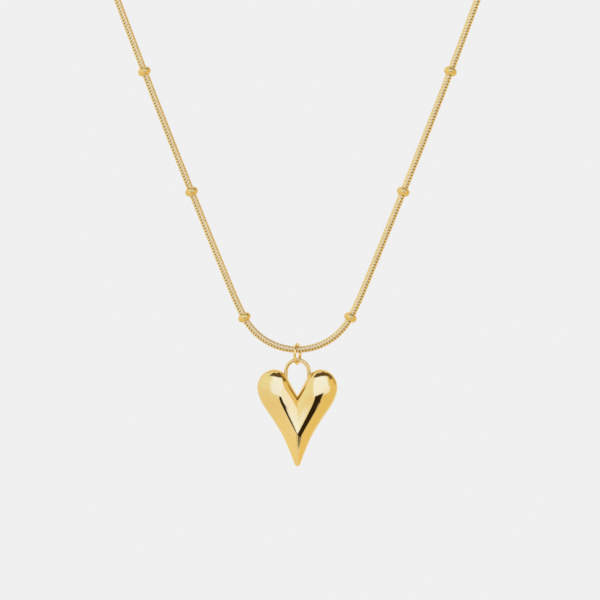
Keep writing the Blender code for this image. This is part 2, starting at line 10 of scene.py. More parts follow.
import bmesh
import bpy
import numpy as np
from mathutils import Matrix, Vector

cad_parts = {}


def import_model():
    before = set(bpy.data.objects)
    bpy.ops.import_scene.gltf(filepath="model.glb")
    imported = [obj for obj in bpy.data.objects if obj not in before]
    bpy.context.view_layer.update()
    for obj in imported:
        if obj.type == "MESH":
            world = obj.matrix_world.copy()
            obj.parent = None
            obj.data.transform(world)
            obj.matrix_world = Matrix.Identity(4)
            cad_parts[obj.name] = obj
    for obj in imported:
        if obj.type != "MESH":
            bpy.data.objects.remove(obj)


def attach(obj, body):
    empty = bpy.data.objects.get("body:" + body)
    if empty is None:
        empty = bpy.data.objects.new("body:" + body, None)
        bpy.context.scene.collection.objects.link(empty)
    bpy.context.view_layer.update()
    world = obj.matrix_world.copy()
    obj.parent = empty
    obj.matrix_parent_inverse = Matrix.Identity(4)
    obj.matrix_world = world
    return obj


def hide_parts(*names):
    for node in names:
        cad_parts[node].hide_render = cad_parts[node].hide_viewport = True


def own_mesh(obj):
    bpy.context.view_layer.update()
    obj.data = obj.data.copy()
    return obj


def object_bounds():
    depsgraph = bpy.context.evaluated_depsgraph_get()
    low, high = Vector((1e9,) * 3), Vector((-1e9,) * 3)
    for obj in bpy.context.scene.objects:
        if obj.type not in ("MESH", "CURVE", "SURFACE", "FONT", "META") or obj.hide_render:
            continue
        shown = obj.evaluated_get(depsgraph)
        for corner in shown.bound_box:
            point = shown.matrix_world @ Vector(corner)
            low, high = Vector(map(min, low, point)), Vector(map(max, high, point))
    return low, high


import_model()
CAD_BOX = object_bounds()
MM = 0.001

# ---------------------------------------------------------------- sizes shared with the CAD

CHAIN_RADIUS = 0.65
BEAD_RADIUS = 1.25
BEAD_LENGTH = 1.4
BEAD_STATIONS = (12.5, 38.7, 63.5, 88.9, 114.3, 139.7, 165.1, 190.5)  # from the chain's lowest point
CHAIN_BODIES = ("drop_lower", "drop_middle", "drop_upper")  # of the chain above beads 1, 2 and 3
NECK_DEPTH = 78.0
DROP = 118.0
# The chain's front: (arc length from the lowest point, angle above level) in millimetres and degrees
FRONT_BEND = ((0.0, 0.0), (12.5, 62.3), (18.0, 67.5), (50.0, 68.5), (75.0, 69.6), (100.0, 69.8))
SHOULDER = np.array((52.0, -NECK_DEPTH / 2 + 24.0, -4.0))
SHOULDER_DIRECTION = np.array((0.10, 0.97, 0.22))
CHAIN_END = np.array((10.5, NECK_DEPTH / 2, 0.0))
CAP_RADIUS = 0.95
CAP_DEPTH = 2.6  # how far the chain goes into its cap
CAP_LENGTH = 3.1
CAP_LOOP_RADIUS = 1.0
CLASP_RING_RADIUS = 1.7
LINK_WIRE = 0.4
LINK_HALF_LENGTH = 3.1
LINK_END_RADIUS = 1.8
LINK_COUNT = 7
LINK_1_DROP = 0.18
BALL_RADIUS = 2.0
BALL_EYE_RADIUS = 0.95
LOOP_OVERLAP = 0.1  # how deep a cap's loop is sunk into the cap
TOUCH_GAP = 0.04
CLASP_START_X = -6.4
EYE_RADIUS = 1.05
EYE_WIRE = 0.36
HOOK_CURVE = (  # the hook's spine as (along, up, radius), in the clasp's own plane
    (2.35, 0.0, 0.8),
    (3.2, -0.25, 1.1),
    (4.4, -0.75, 1.05),
    (6.2, -1.5, 0.8),
    (8.3, -1.6, 0.7),
    (9.95, -0.9, 0.6),
    (10.15, 0.5, 0.55),
    (9.2, 1.55, 0.42),
)
LEVER_CURVE = (  # the lever's outline: the thumb tab, the gate's outside, its tip, its inside, the tail
    (2.3, 1.35),
    (2.95, 1.8),
    (3.7, 1.2),
    (5.6, 1.2),
    (8.1, 1.5),
    (8.45, 1.3),
    (8.3, 1.0),
    (5.8, 0.55),
    (4.5, -0.15),
    (3.7, -0.3),
    (3.2, 0.25),
    (2.95, 0.85),
    (2.3, 1.35),
)
SLOT_ALONG = (2.8, 5.4)
SLOT_FLOOR = -0.75
SLOT_WIDTH = 0.9
RIVET_ALONG = 3.9
RIVET_UP = 0.2
RIVET_RADIUS = 0.28
RIVET_HEAD = 1.08  # from the clasp's middle to the rim of a rivet head
SPRING_ALONG = 4.9
SPRING_RADIUS = 0.28
SPRING_WIRE = 0.05
SPRING_HEIGHT = 0.55
LOW_POINT = np.array((0.0, -NECK_DEPTH / 2, -DROP))
BACK = np.array((0.0, NECK_DEPTH / 2, 0.0))
WIRE_RADIUS = 0.3
RING_RADIUS = 1.85
RING_DROP = 0.85
RING_TURN = math.radians(-16.0)
BAIL_RADIUS = 2.2
BAIL_WIRE = 0.37
BAIL_DROP = 4.22
BAIL_LEG = 1.3

HEART_FRONT_HEIGHT = 2.35
HEART_BACK_HEIGHT = 1.75
# Heart outline, right half, as (x, z) from the chain's lowest point: the notch, the lobe, the tip
HEART_CURVE = (
    (0.0, -8.95),
    (1.0, -7.1),
    (2.05, -5.2),
    (3.2, -4.1),
    (4.87, -3.85),
    (6.75, -4.85),
    (7.7, -7.14),
    (6.95, -10.0),
    (4.77, -13.35),
    (2.8, -16.6),
    (1.29, -20.1),
    (0.5, -22.1),
    (0.0, -22.5),
)
# The right crest, from the lobe to the middle line
HEART_CREST = ((3.3, -9.1), (2.8, -10.5), (2.1, -12.1), (1.1, -14.1), (0.0, -16.3))
LOBE_END = (6.1, -4.3)  # where the crest's line would leave the lobe
NOTCH_SLOPE = 0.545  # how the line of the notch runs on across the heart, dx/dz
NOTCH_REACH = 7.0  # how far down that line is followed
CREST_POWER = 0.6  # how the crest sinks as the heart narrows

X_AXIS = np.array((1.0, 0.0, 0.0))
Y_AXIS = np.array((0.0, 1.0, 0.0))
Z_AXIS = np.array((0.0, 0.0, 1.0))

# ---------------------------------------------------------------- materials


def shader_nodes(name):
    material = bpy.data.materials.new(name)
    material.use_nodes = True
    return material, material.node_tree, material.node_tree.nodes["Principled BSDF"]


def gold(name, colour, roughness, grain, bump, tint=0.06):
    """Plated gold: a slightly uneven tone, polish marks in the roughness and a faint surface grain."""
    material, tree, shader = shader_nodes(name)
    shader.inputs["Metallic"].default_value = 1.0
    place = tree.nodes.new("ShaderNodeTexCoord")
    tone = tree.nodes.new("ShaderNodeTexNoise")
    tone.inputs["Scale"].default_value = 90.0
    tone.inputs["Detail"].default_value = 3.0
    tree.links.new(place.outputs["Object"], tone.inputs["Vector"])
    ramp = tree.nodes.new("ShaderNodeValToRGB")
    ramp.color_ramp.elements[0].position = 0.3
    ramp.color_ramp.elements[1].position = 0.7
    ramp.color_ramp.elements[0].color = (*(part * (1.0 - tint) for part in colour), 1.0)
    ramp.color_ramp.elements[1].color = (*colour, 1.0)
    tree.links.new(tone.outputs["Fac"], ramp.inputs["Fac"])
    tree.links.new(ramp.outputs["Color"], shader.inputs["Base Color"])

    marks = tree.nodes.new("ShaderNodeTexNoise")
    marks.inputs["Scale"].default_value = grain
    marks.inputs["Detail"].default_value = 4.0
    tree.links.new(place.outputs["Object"], marks.inputs["Vector"])
    spread = tree.nodes.new("ShaderNodeMapRange")
    spread.inputs["To Min"].default_value = roughness * 0.75
    spread.inputs["To Max"].default_value = roughness * 1.3
    tree.links.new(marks.outputs["Fac"], spread.inputs["Value"])
    tree.links.new(spread.outputs["Result"], shader.inputs["Roughness"])

    relief = tree.nodes.new("ShaderNodeBump")
    relief.inputs["Strength"].default_value = bump
    relief.inputs["Distance"].default_value = 0.00002
    tree.links.new(marks.outputs["Fac"], relief.inputs["Height"])
    tree.links.new(relief.outputs["Normal"], shader.inputs["Normal"])
    return material


def paint_hole_shade(material):
    """Paints shade into the holes between the chain's links: the base colour turns dark where the holes'
    shade falls.
    """
    tree = material.node_tree
    shader = tree.nodes["Principled BSDF"]
    tone = shader.inputs["Base Color"].links[0].from_socket
    painted_hole_shade = tree.nodes.new("ShaderNodeAttribute")
    painted_hole_shade.attribute_name = "painted_hole_shade"
    mix = tree.nodes.new("ShaderNodeMix")
    mix.data_type = "RGBA"
    mix.inputs[MIX_SECOND].default_value = (*PAINTED_HOLE_SHADE, 1.0)
    tree.links.new(painted_hole_shade.outputs["Fac"], mix.inputs["Factor"])
    tree.links.new(tone, mix.inputs[MIX_FIRST])
    tree.links.new(mix.outputs[MIX_RESULT], shader.inputs["Base Color"])


GOLD = (0.93, 0.66, 0.24)
PALE_GOLD = (0.96, 0.71, 0.31)
BEAD_GOLD = (0.92, 0.63, 0.19)
STEEL = (0.72, 0.70, 0.66)
# painted shade: the dark colour put into the chain's holes
PAINTED_HOLE_SHADE = (0.10, 0.05, 0.01)
MIX_FIRST = 6  # the colour sockets of a Mix node, which share their names with its others
MIX_SECOND = 7
MIX_RESULT = 2


MATERIALS = {
    "snake_chain": gold("snake_chain", PALE_GOLD, 0.42, 2500.0, 0.10),
    "bead": gold("bead", BEAD_GOLD, 0.40, 1500.0, 0.05),
    "heart": gold("heart", GOLD, 0.07, 700.0, 0.02),
    "wire": gold("wire", GOLD, 0.16, 1800.0, 0.08),
    "cast": gold("cast", GOLD, 0.16, 1600.0, 0.15),
    "spring_steel": gold("spring_steel", STEEL, 0.25, 2000.0, 0.1),
}
# The chain's holes get painted shade.
paint_hole_shade(MATERIALS["snake_chain"])

# ---------------------------------------------------------------- mesh helpers


def solid(name, points, faces):
    """A closed mesh from points in millimetres, in the scene but not yet a piece."""
    mesh = bpy.data.meshes.new(name)
    mesh.from_pydata((np.asarray(points) * MM).tolist(), [], faces)
    work = bmesh.new()
    work.from_mesh(mesh)
    bmesh.ops.remove_doubles(work, verts=work.verts, dist=2e-7)
    bmesh.ops.recalc_face_normals(work, faces=work.faces)
    work.to_mesh(mesh)
    work.free()
    made = bpy.data.objects.new(name, mesh)
    bpy.context.scene.collection.objects.link(made)
    return made


def combined(base, tool, operation):
    """The base with the tool joined to it or cut from it. The tool is used up."""
    change = base.modifiers.new(operation.lower(), "BOOLEAN")
    change.operation = operation
    change.solver = "EXACT"
    change.object = tool
    graph = bpy.context.evaluated_depsgraph_get()
    mesh = bpy.data.meshes.new_from_object(base.evaluated_get(graph))
    base.modifiers.clear()
    base.data = mesh
    bpy.data.objects.remove(tool)
    return base


def as_piece(made, body, slot, nodes=(), smooth_angle=40.0):
    """Smooth shading, a finish and a body for a solid that stands for its CAD nodes."""
    made.data.shade_smooth()
    made.data.set_sharp_from_angle(angle=math.radians(smooth_angle))
    made.data.materials.clear()
    made.data.materials.append(MATERIALS[slot])
    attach(made, body)
    if nodes:
        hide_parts(*nodes)
    return made


def add_piece(name, points, faces, body, slot, nodes=(), smooth_angle=40.0):
    return as_piece(solid(name, points, faces), body, slot, nodes, smooth_angle)


def unit(vectors):
    return vectors / np.linalg.norm(vectors, axis=-1, keepdims=True)


def frames_along(path, closed=False):
    """Side and up directions along a path, turned as little as possible."""
    if closed:
        directions = unit(np.roll(path, -1, axis=0) - np.roll(path, 1, axis=0))
    else:
        directions = unit(np.gradient(path, axis=0))
    guide = Z_AXIS if abs(directions[0] @ Z_AXIS) < 0.9 else Y_AXIS
    side = unit(np.cross(directions[0], guide))
    sides = []
    for direction in directions:
        side = unit(side - direction * (side @ direction))
        sides.append(side)
    sides = np.array(sides)
    return sides, np.cross(directions, sides)


def grid_faces(rows, columns, wrap_rows=False, wrap_columns=True):
    """Quads over a grid of points, closed round its columns."""
    faces = []
    for row in range(rows if wrap_rows else rows - 1):
        below = (row + 1) % rows
        for column in range(columns if wrap_columns else columns - 1):
            beside = (column + 1) % columns
            faces.append(
                (
                    row * columns + column,
                    row * columns + beside,
                    below * columns + beside,
                    below * columns + column,
                )
            )
    return faces


def swept(path, radii, sides, closed=False):
    """A round wire along a path. An open one has flat ends."""
    path = np.asarray(path, float)
    radii = np.broadcast_to(np.asarray(radii, float), len(path))
    side, up = frames_along(path, closed)
    turn = np.linspace(0.0, 2.0 * math.pi, sides, endpoint=False)
    ring = side[:, None] * np.cos(turn)[None, :, None] + up[:, None] * np.sin(turn)[None, :, None]
    points = (path[:, None] + ring * radii[:, None, None]).reshape(-1, 3)
    faces = grid_faces(len(path), sides, wrap_rows=closed)
    if not closed:
        faces.append(tuple(range(sides)))
        faces.append(tuple(range((len(path) - 1) * sides, len(path) * sides)))
    return points, faces


def turned(profile, centre, axis, sides, closed=True):
    """A (radius, height) profile turned about an axis through centre."""
    axis = unit(np.asarray(axis, float))
    guide = Z_AXIS if abs(axis @ Z_AXIS) < 0.9 else X_AXIS
    first = unit(np.cross(axis, guide))
    second = np.cross(axis, first)
    profile = np.asarray(profile, float)
    turn = np.linspace(0.0, 2.0 * math.pi, sides, endpoint=False)
    around = first * np.cos(turn)[:, None] + second * np.sin(turn)[:, None]
    points = around[:, None] * profile[None, :, :1] + axis * profile[None, :, 1:]
    points = (points + centre).reshape(-1, 3)
    return points, grid_faces(sides, len(profile), wrap_rows=True, wrap_columns=closed)


def arc(centre, radius, first, second, start, end, steps):
    """Points on an arc from start to end degrees, turning from `first` to `second`."""
    angles = np.radians(np.linspace(start, end, steps))[:, None]
    return centre + radius * (np.cos(angles) * first + np.sin(angles) * second)


def smooth_curve(corners, per_span):
    """A Catmull-Rom curve through the corners, with free ends."""
    corners = [np.array(corner, float) for corner in corners]
    padded = [2 * corners[0] - corners[1], *corners, 2 * corners[-1] - corners[-2]]
    found = [corners[0]]
    for index in range(1, len(padded) - 2):
        before, start, end, after = padded[index - 1 : index + 3]
        for step in range(1, per_span + 1):
            t = step / per_span
            found.append(
                0.5
                * (
                    2 * start
                    + (end - before) * t
                    + (2 * before - 5 * start + 4 * end - after) * t * t
                    + (3 * start - 3 * end + after - before) * t**3
                )
            )
    return np.array(found)


# ---------------------------------------------------------------- the chain's route


def bezier(start, start_handle, end_handle, end, steps):
    t = np.linspace(0.0, 1.0, steps + 1)[1:, None]
    u = 1.0 - t
    return start * u**3 + start_handle * 3 * u * u * t + end_handle * 3 * u * t * t + end * t**3


def chain_route():
    """The right half of the chain from its lowest point to the nape, as dense points."""
    step = 0.25
    stations = [bend[0] for bend in FRONT_BEND]
    angles = [bend[1] for bend in FRONT_BEND]
    middles = (np.arange(int(stations[-1] / step)) + 0.5) * step
    angle = np.radians(np.interp(middles, stations, angles))
    steps = np.stack([np.cos(angle), np.zeros_like(angle), np.sin(angle)], axis=1) * step
    front = np.vstack([LOW_POINT, LOW_POINT + np.cumsum(steps, axis=0)])
    leaving = unit(front[-1] - front[-2])
    aside = unit(SHOULDER_DIRECTION)
    entering = CHAIN_END + X_AXIS * (CAP_DEPTH + 0.8)
    neck = bezier(front[-1], front[-1] + leaving * 15.0, SHOULDER - aside * 14.0, SHOULDER, 120)
    nape = bezier(SHOULDER, SHOULDER + aside * 30.0, entering + X_AXIS * 24.0, entering, 240)
    last = entering + (CHAIN_END - entering) * np.linspace(0.1, 1.0, 10)[:, None]
    return np.vstack([front, neck, nape, last])


ROUTE = chain_route()
ROUTE_LENGTHS = np.concatenate([[0.0], np.cumsum(np.linalg.norm(np.diff(ROUTE, axis=0), axis=1))])
HALF_LENGTH = ROUTE_LENGTHS[-1]


def carried_outward():
    """The outward direction (away from the wearer's throat), carried along the route without twist."""
    directions = unit(np.gradient(ROUTE, axis=0))
    outward = -Z_AXIS
    found = []
    for direction in directions:
        outward = unit(outward - direction * (outward @ direction))
        found.append(outward)
    return np.array(found), np.cross(found, directions)


ROUTE_OUTWARD, ROUTE_FRONT = carried_outward()


def along_route(values, stations):
    """Values of the right half at the stations; left of the lowest point they are mirrored."""
    found = [np.interp(np.abs(stations), ROUTE_LENGTHS, values[:, axis]) for axis in range(3)]
    found[0] = found[0] * np.where(np.asarray(stations) < 0.0, -1.0, 1.0)
    return np.stack(found, axis=-1)


def on_chain(stations):
    return along_route(ROUTE, np.asarray(stations, float))


# ---------------------------------------------------------------- chain and beads

RIB_PITCH = 0.6
RIB_ROWS = np.array((0.0, 0.07, 0.15, 0.28, 0.5, 0.72, 0.85, 0.93))  # shares of a rib's length
RIB_WAVE = 0.26  # how far the ribs' wavy edges swing along the chain, in pitches
RIB_TURN = math.radians(30.0)  # from the front to the outer row of holes
GROOVE_DEPTH = 0.07
HOLE_DEPTH = 0.26
CHAIN_SIDES = 42
END_IN_BEAD = 0.3  # how far a chain length stops short of its bead's middle
BEAD_ROUND = 0.62  # radius that a bead's side is rounded to, across the bead
BEAD_TURN = math.radians(74.0)  # how far round its side goes, each way from the middle


def chain_piece(name, start, end, body, node):
    """A length of snake chain: flat wavy ribs, a groove between each two, and a hole at each wave's crest."""
    ribs = max(1, round((end - start) / RIB_PITCH))
    pitch = (end - start) / ribs
    shares = np.concatenate([RIB_ROWS + rib for rib in range(ribs)] + [[ribs]])
    across = np.abs(np.mod(shares, 1.0) * 2.0 - 1.0)[:, None]
    turn = np.linspace(0.0, 2.0 * math.pi, CHAIN_SIDES, endpoint=False)[None, :]
    wave = np.cos(3.0 * (turn - RIB_TURN))
    crest = np.clip(wave, 0.0, 1.0) ** 6
    hole = crest * across**5
    radius = CHAIN_RADIUS - GROOVE_DEPTH * across**10 - HOLE_DEPTH * hole
    stations = np.clip(start + pitch * (shares[:, None] + RIB_WAVE * wave), start, end)
    front = along_route(ROUTE_FRONT, stations)
    outward = along_route(ROUTE_OUTWARD, stations)
    ring = front * np.cos(turn)[..., None] + outward * np.sin(turn)[..., None]
    points = (on_chain(stations) + ring * radius[..., None]).reshape(-1, 3)
    faces = grid_faces(len(shares), CHAIN_SIDES)
    faces.append(tuple(range(CHAIN_SIDES)))
    faces.append(tuple(range((len(shares) - 1) * CHAIN_SIDES, len(shares) * CHAIN_SIDES)))
    made = solid(name, points, faces)
    # How deep in a hole each point lies, kept as the mask of the painted shade in the holes.
    made.data.attributes.new("painted_hole_shade", "FLOAT", "POINT").data.foreach_set("value", np.sqrt(hole).ravel())
    as_piece(made, body, "snake_chain", [node], 50.0)


def bead_piece(name, station, body, node):
    """A short barrel bead with full round sides, dished round the chain."""
    half = BEAD_LENGTH / 2
    dish = half - 0.2
    side = [
        (BEAD_RADIUS - BEAD_ROUND * (1.0 - math.cos(angle)), half * math.sin(angle) / math.sin(BEAD_TURN))
        for angle in np.linspace(-BEAD_TURN, BEAD_TURN, 29)
    ]
    profile = [(0.0, -dish), (CHAIN_RADIUS, -dish), *side, (CHAIN_RADIUS, dish), (0.0, dish)]
    along = on_chain(station + 0.2) - on_chain(station - 0.2)
    points, faces = turned(profile, on_chain(station), along, 44, closed=False)
    add_piece(name, points, faces, body, "bead", [node], 50.0)


def chain():
    reach = BEAD_STATIONS[0] - END_IN_BEAD
    chain_piece("snake_chain_bottom", -reach, reach, "drop_bottom", "chain_bottom")
    for side, word in ((-1.0, "left"), (1.0, "right")):
        for number, station in enumerate(BEAD_STATIONS, start=1):
            body = CHAIN_BODIES[number - 1] if number <= len(CHAIN_BODIES) else "neck_chain"
            last = number == len(BEAD_STATIONS)
            end = HALF_LENGTH if last else BEAD_STATIONS[number] - END_IN_BEAD
            ends = sorted((side * (station + END_IN_BEAD), side * end))
            chain_piece(f"snake_chain_{word}_{number}", *ends, body, f"chain_{word}_{number}")
            bead_piece(f"rondelle_{word}_{number}", side * station, body, f"bead_{word}_{number}")


# ---------------------------------------------------------------- the heart

OUTER_FORM = (0.92, 2.0)  # share of a slope that is a dome, not a facet; power of the dome's roll-off
INNER_FORM = (0.64, 4.5)
CREST_EDGE = 0.05  # how softly the two slopes meet on the crest
RING_CUT = 0.6  # half the cut in a jump ring, in degrees


def half_outline(per_span):
    """The right half of the heart's outline, from the notch over the lobe to the tip."""
    beyond = (-HEART_CURVE[-2][0], HEART_CURVE[-2][1])
    return smooth_curve([*HEART_CURVE, beyond], per_span)[:-per_span]


def nearest(line, point):
    return line[int(np.argmin(np.linalg.norm(line - point, axis=1)))]


def half_rows(outline, per_span, fan):
    """Rows over the right half, lobe to tip, as (outer foot, crest, inner foot, radius, inner form)."""
    crest = smooth_curve(HEART_CREST, per_span)
    notch = outline[0]
    tip = outline[-1]
    line_end = notch + np.array((-NOTCH_SLOPE, -1.0)) * NOTCH_REACH
    notch_line = notch + np.linspace(1.0, 0.0, 3000)[:-1, None] * (line_end - notch)
    split = int(np.argmin(np.linalg.norm(outline - LOBE_END, axis=1)))
    inner_edge = np.concatenate([notch_line, outline[: split + 1]])
    outer_edge = outline[split:]
    rows = []
    for middle in crest:
        outer = nearest(outer_edge, middle)
        inner = nearest(inner_edge, middle)
        rows.append((outer, middle, inner, float(np.linalg.norm(outer - middle)), INNER_FORM))
    for share in np.linspace(0.0, 1.0, 2 * per_span + 1)[1:-1]:
        middle = crest[-1] + (tip - crest[-1]) * share
        outer = nearest(outer_edge, middle)
        rows.append((outer, middle, middle, float(np.linalg.norm(outer - middle)), INNER_FORM))
    rows.append((tip, tip, tip, 0.0, INNER_FORM))
    outer, middle, inner, radius, _ = rows[0]
    outer_index = int(np.argmin(np.linalg.norm(outline - outer, axis=1)))
    inner_index = int(np.argmin(np.linalg.norm(outline - inner, axis=1)))
    lobe = []
    for share in np.linspace(0.0, 1.0, fan + 1)[:-1]:
        right = outline[int(round(split + (outer_index - split) * share))]
        left = outline[int(round(split + (inner_index - split) * share))]
        form = tuple(a + (b - a) * share for a, b in zip(OUTER_FORM, INNER_FORM))
        lobe.append((right, middle, left, radius, form))
    return lobe + rows


def with_notch_row(rows):
    """Adds the row whose inner foot lies on the heart's middle line, where the notch closes."""
    reach = [row[2][0] for row in rows]
    for index in range(1, len(rows)):
        if reach[index - 1] > 0.0 >= reach[index]:
            share = reach[index - 1] / (reach[index - 1] - reach[index])
            mixed = [a + (b - a) * share for a, b in zip(rows[index - 1][:4], rows[index][:4])]
            return rows[:index] + [(*mixed, INNER_FORM)] + rows[index:]
    return rows


def slope_share(away, form):
    """Height at a share of the way from the crest to the foot: a facet with a soft crest, and a dome."""
    puff, power = form
    edge = CREST_EDGE
    facet = 1.0 - (math.hypot(away, edge) - edge) / (math.hypot(1.0, edge) - edge)
    dome = math.sqrt(max(0.0, 1.0 - away**power))
    return (1.0 - puff) * facet + puff * dome


def clipped(points):
    """Holds the points of a row on the right of the heart's middle line."""
    for index, point in enumerate(points):
        if point[0] >= 0.0:
            continue
        inside = points[index - 1]
        share = inside[0] / (inside[0] - point[0]) if inside[0] > 0.0 else 0.0
        along = inside[1] + (point[1] - inside[1]) * share
        up = inside[2] + (point[2] - inside[2]) * share
        return points[:index] + [[0.0, along, up]] * (len(points) - index)
    return points


def half_heart(name, rows, rings, height, facing, node):
    """One stamped half of the heart; facing is -1 for the front, +1 for the back."""
    widest = max(row[3] for row in rows)
    shares = 1.0 - np.cos(np.linspace(0.0, 0.5 * math.pi, rings + 1))
    shares = 0.5 * shares + 0.5 * np.linspace(0.0, 1.0, rings + 1)
    surface = []
    for outer, crest, inner, radius, inner_form in with_notch_row(rows):
        top = height * (radius / widest) ** CREST_POWER
        points = []
        for foot, along, form in ((outer, shares, OUTER_FORM), (inner, shares[::-1][1:], inner_form)):
            for share in along:
                position = foot + (crest - foot) * share
                points.append([position[0], position[1], top * slope_share(1.0 - share, form)])
        surface.append(clipped(points))
    surface = np.array(surface)
    columns = surface.shape[1]
    points = []
    faces = []
    for mirror in (1.0, -1.0):
        offset = len(points)
        flat = surface.reshape(-1, 3)
        placed = np.stack([flat[:, 0] * mirror, facing * flat[:, 2], flat[:, 1]], axis=1) + LOW_POINT
        points.extend(placed.tolist())
        faces += [
            tuple(offset + corner for corner in face)
            for face in grid_faces(len(surface), columns, wrap_columns=False)
        ]
    piece = add_piece(name, points, faces, "pendant", "heart", [node], 30.0)
    work = bmesh.new()
    work.from_mesh(piece.data)
    bmesh.ops.dissolve_degenerate(work, edges=work.edges, dist=1e-8)
    rim = [edge for edge in work.edges if edge.is_boundary]
    bmesh.ops.contextual_create(work, geom=rim)
    bmesh.ops.recalc_face_normals(work, faces=work.faces)
    work.to_mesh(piece.data)
    work.free()
    piece.data.set_sharp_from_angle(angle=math.radians(30.0))
    return piece


def heart():
    rows = half_rows(half_outline(400), 16, 30)
    half_heart("heart_front", rows, 26, HEART_FRONT_HEIGHT, -1.0, "heart_front_shell")
    half_heart("heart_back", rows, 20, HEART_BACK_HEIGHT, 1.0, "heart_back_shell")


def bail():
    """The half ring on its two legs, which are let into the lobes."""
    centre = LOW_POINT - Z_AXIS * BAIL_DROP
    arch = arc(centre, BAIL_RADIUS, X_AXIS, Z_AXIS, 0.0, 180.0, 64)
    leg = Z_AXIS * BAIL_LEG
    points, faces = swept([arch[0] - leg, *arch, arch[-1] - leg], BAIL_WIRE, 24)
    add_piece("bail_half_ring", points, faces, "pendant", "wire", ["heart_bail"], 60.0)


def jump_ring(name, node, centre, radius, first, second, cut_at):
    """A round wire ring with the fine cut where it was opened and closed. Its body has its node's name."""
    path = arc(centre, radius, first, second, cut_at + RING_CUT, cut_at + 360.0 - RING_CUT, 96)
    points, faces = swept(path, WIRE_RADIUS, 20)
    add_piece(name, points, faces, node, "wire", [node], 60.0)


def pendant_ring():
    across = np.array((-math.sin(RING_TURN), math.cos(RING_TURN), 0.0))
    centre = LOW_POINT - Z_AXIS * RING_DROP
    jump_ring("jump_ring", "pendant_ring", centre, RING_RADIUS, across, Z_AXIS, 20.0)


# ---------------------------------------------------------------- behind the neck

CRIMPS = (0.75, 1.65)  # where the pressed rings of an end cap start, from its mouth
CRIMP_DEPTH = 0.09
CAP_ROUND = 0.45  # of the cap's shoulder
NOSE_RADII = (0.38, 0.28, 0.1)  # how the hook's nose closes
NOSE_STEP = np.array((-0.1, 0.05))
LEVER_PLAY = 0.05  # between the lever's side and the slot's
LEVER_EASE = 0.07
COIL_TURNS = 4

def loop_tool(centre, radius, wire, normal):
    """The little ring of a fitting, to be joined to it."""
    first = Z_AXIS if abs(normal @ Z_AXIS) < 0.9 else X_AXIS
    path = arc(centre, radius, first, np.cross(normal, first), 0.0, 360.0, 49)[:-1]
    return solid("loop_tool", *swept(path, wire, 20, closed=True))


def end_cap(side):
    """A cap crimped on the chain's end with two pressed rings, and its loop."""
    word = "right" if side > 0.0 else "left"
    bore = CHAIN_RADIUS + 0.02
    mouth = [(0.0, 0.4), (bore, 0.4), (bore, 0.08), (0.76, 0.0), (0.88, 0.02)]
    profile = [*mouth, (CAP_RADIUS, 0.12), (CAP_RADIUS, 0.6)]
    dent = CAP_RADIUS - CRIMP_DEPTH
    for crimp in CRIMPS:
        profile += [(dent, crimp), (dent, crimp + 0.25), (CAP_RADIUS, crimp + 0.4)]
    profile += [
        (
            CAP_RADIUS - CAP_ROUND * (1.0 - math.cos(angle)),
            CAP_LENGTH - CAP_ROUND * (1.0 - math.sin(angle)),
        )
        for angle in np.linspace(0.0, 0.5 * math.pi, 8)
    ]
    profile.append((0.0, CAP_LENGTH))
    start = BACK + X_AXIS * side * (CHAIN_END[0] + CAP_DEPTH)
    cap = solid(f"crimped_cap_{word}", *turned(profile, start, -side * X_AXIS, 40, closed=False))
    reach = CHAIN_END[0] + CAP_DEPTH - CAP_LENGTH - CAP_LOOP_RADIUS + LOOP_OVERLAP
    loop_centre = BACK + X_AXIS * side * reach
    combined(cap, loop_tool(loop_centre, CAP_LOOP_RADIUS, WIRE_RADIUS, Y_AXIS), "UNION")
    as_piece(cap, "neck_chain", "cast", [f"end_cap_{word}"], 35.0)
    return loop_centre


def link(number, centre, long_axis, flat_axis):
    """An oval link: two straight sides with half-round ends."""
    straight = long_axis * (LINK_HALF_LENGTH - LINK_END_RADIUS)
    near = arc(centre + straight, LINK_END_RADIUS, -flat_axis, long_axis, 0.0, 180.0, 28)
    far = arc(centre - straight, LINK_END_RADIUS, flat_axis, -long_axis, 0.0, 180.0, 28)
    points, faces = swept(np.vstack([near, far]), LINK_WIRE, 20, closed=True)
    name = f"extender_link_{number}"
    add_piece(f"oval_link_{number}", points, faces, name, "wire", [name], 60.0)


def extender(cap_loop):
    """Link 1 lies level between the clasp and the right cap; the others hang from its rear side."""
    slack = CAP_LOOP_RADIUS - WIRE_RADIUS - LINK_WIRE - TOUCH_GAP
    reach = math.sqrt(slack**2 - LINK_1_DROP**2)
    centre = cap_loop - X_AXIS * (reach + LINK_HALF_LENGTH) - Z_AXIS * LINK_1_DROP
    link(1, centre, X_AXIS, Y_AXIS)
    inner = LINK_HALF_LENGTH - LINK_WIRE
    pivot = centre + Y_AXIS * LINK_END_RADIUS
    hung = pivot - Z_AXIS * (inner - LINK_WIRE - TOUCH_GAP)
    for number in range(2, LINK_COUNT + 1):
        link(number, hung, Z_AXIS, Y_AXIS if number % 2 == 0 else X_AXIS)
        pivot = hung - Z_AXIS * LINK_HALF_LENGTH
        hung = hung - Z_AXIS * (2 * inner - TOUCH_GAP)
    eye_centre = pivot - Z_AXIS * (BALL_EYE_RADIUS - WIRE_RADIUS - LINK_WIRE - TOUCH_GAP)
    ball_centre = eye_centre - Z_AXIS * (BALL_EYE_RADIUS + BALL_RADIUS - 0.15)
    angles = np.linspace(0.0, math.pi, 33)
    profile = np.stack([BALL_RADIUS * np.sin(angles), -BALL_RADIUS * np.cos(angles)], axis=1)
    ball = solid("end_ball", *turned(profile, ball_centre, Z_AXIS, 48, closed=False))
    normal = Y_AXIS if LINK_COUNT % 2 == 0 else X_AXIS
    combined(ball, loop_tool(eye_centre, BALL_EYE_RADIUS, WIRE_RADIUS, normal), "UNION")
    as_piece(ball, "extender_ball", "wire", ["extender_ball"], 50.0)


def clasp_point(along, up):
    """A point in the clasp's own flat plane: distance from its eye end, height over its middle."""
    return BACK + np.array((CLASP_START_X + along, 0.0, up))


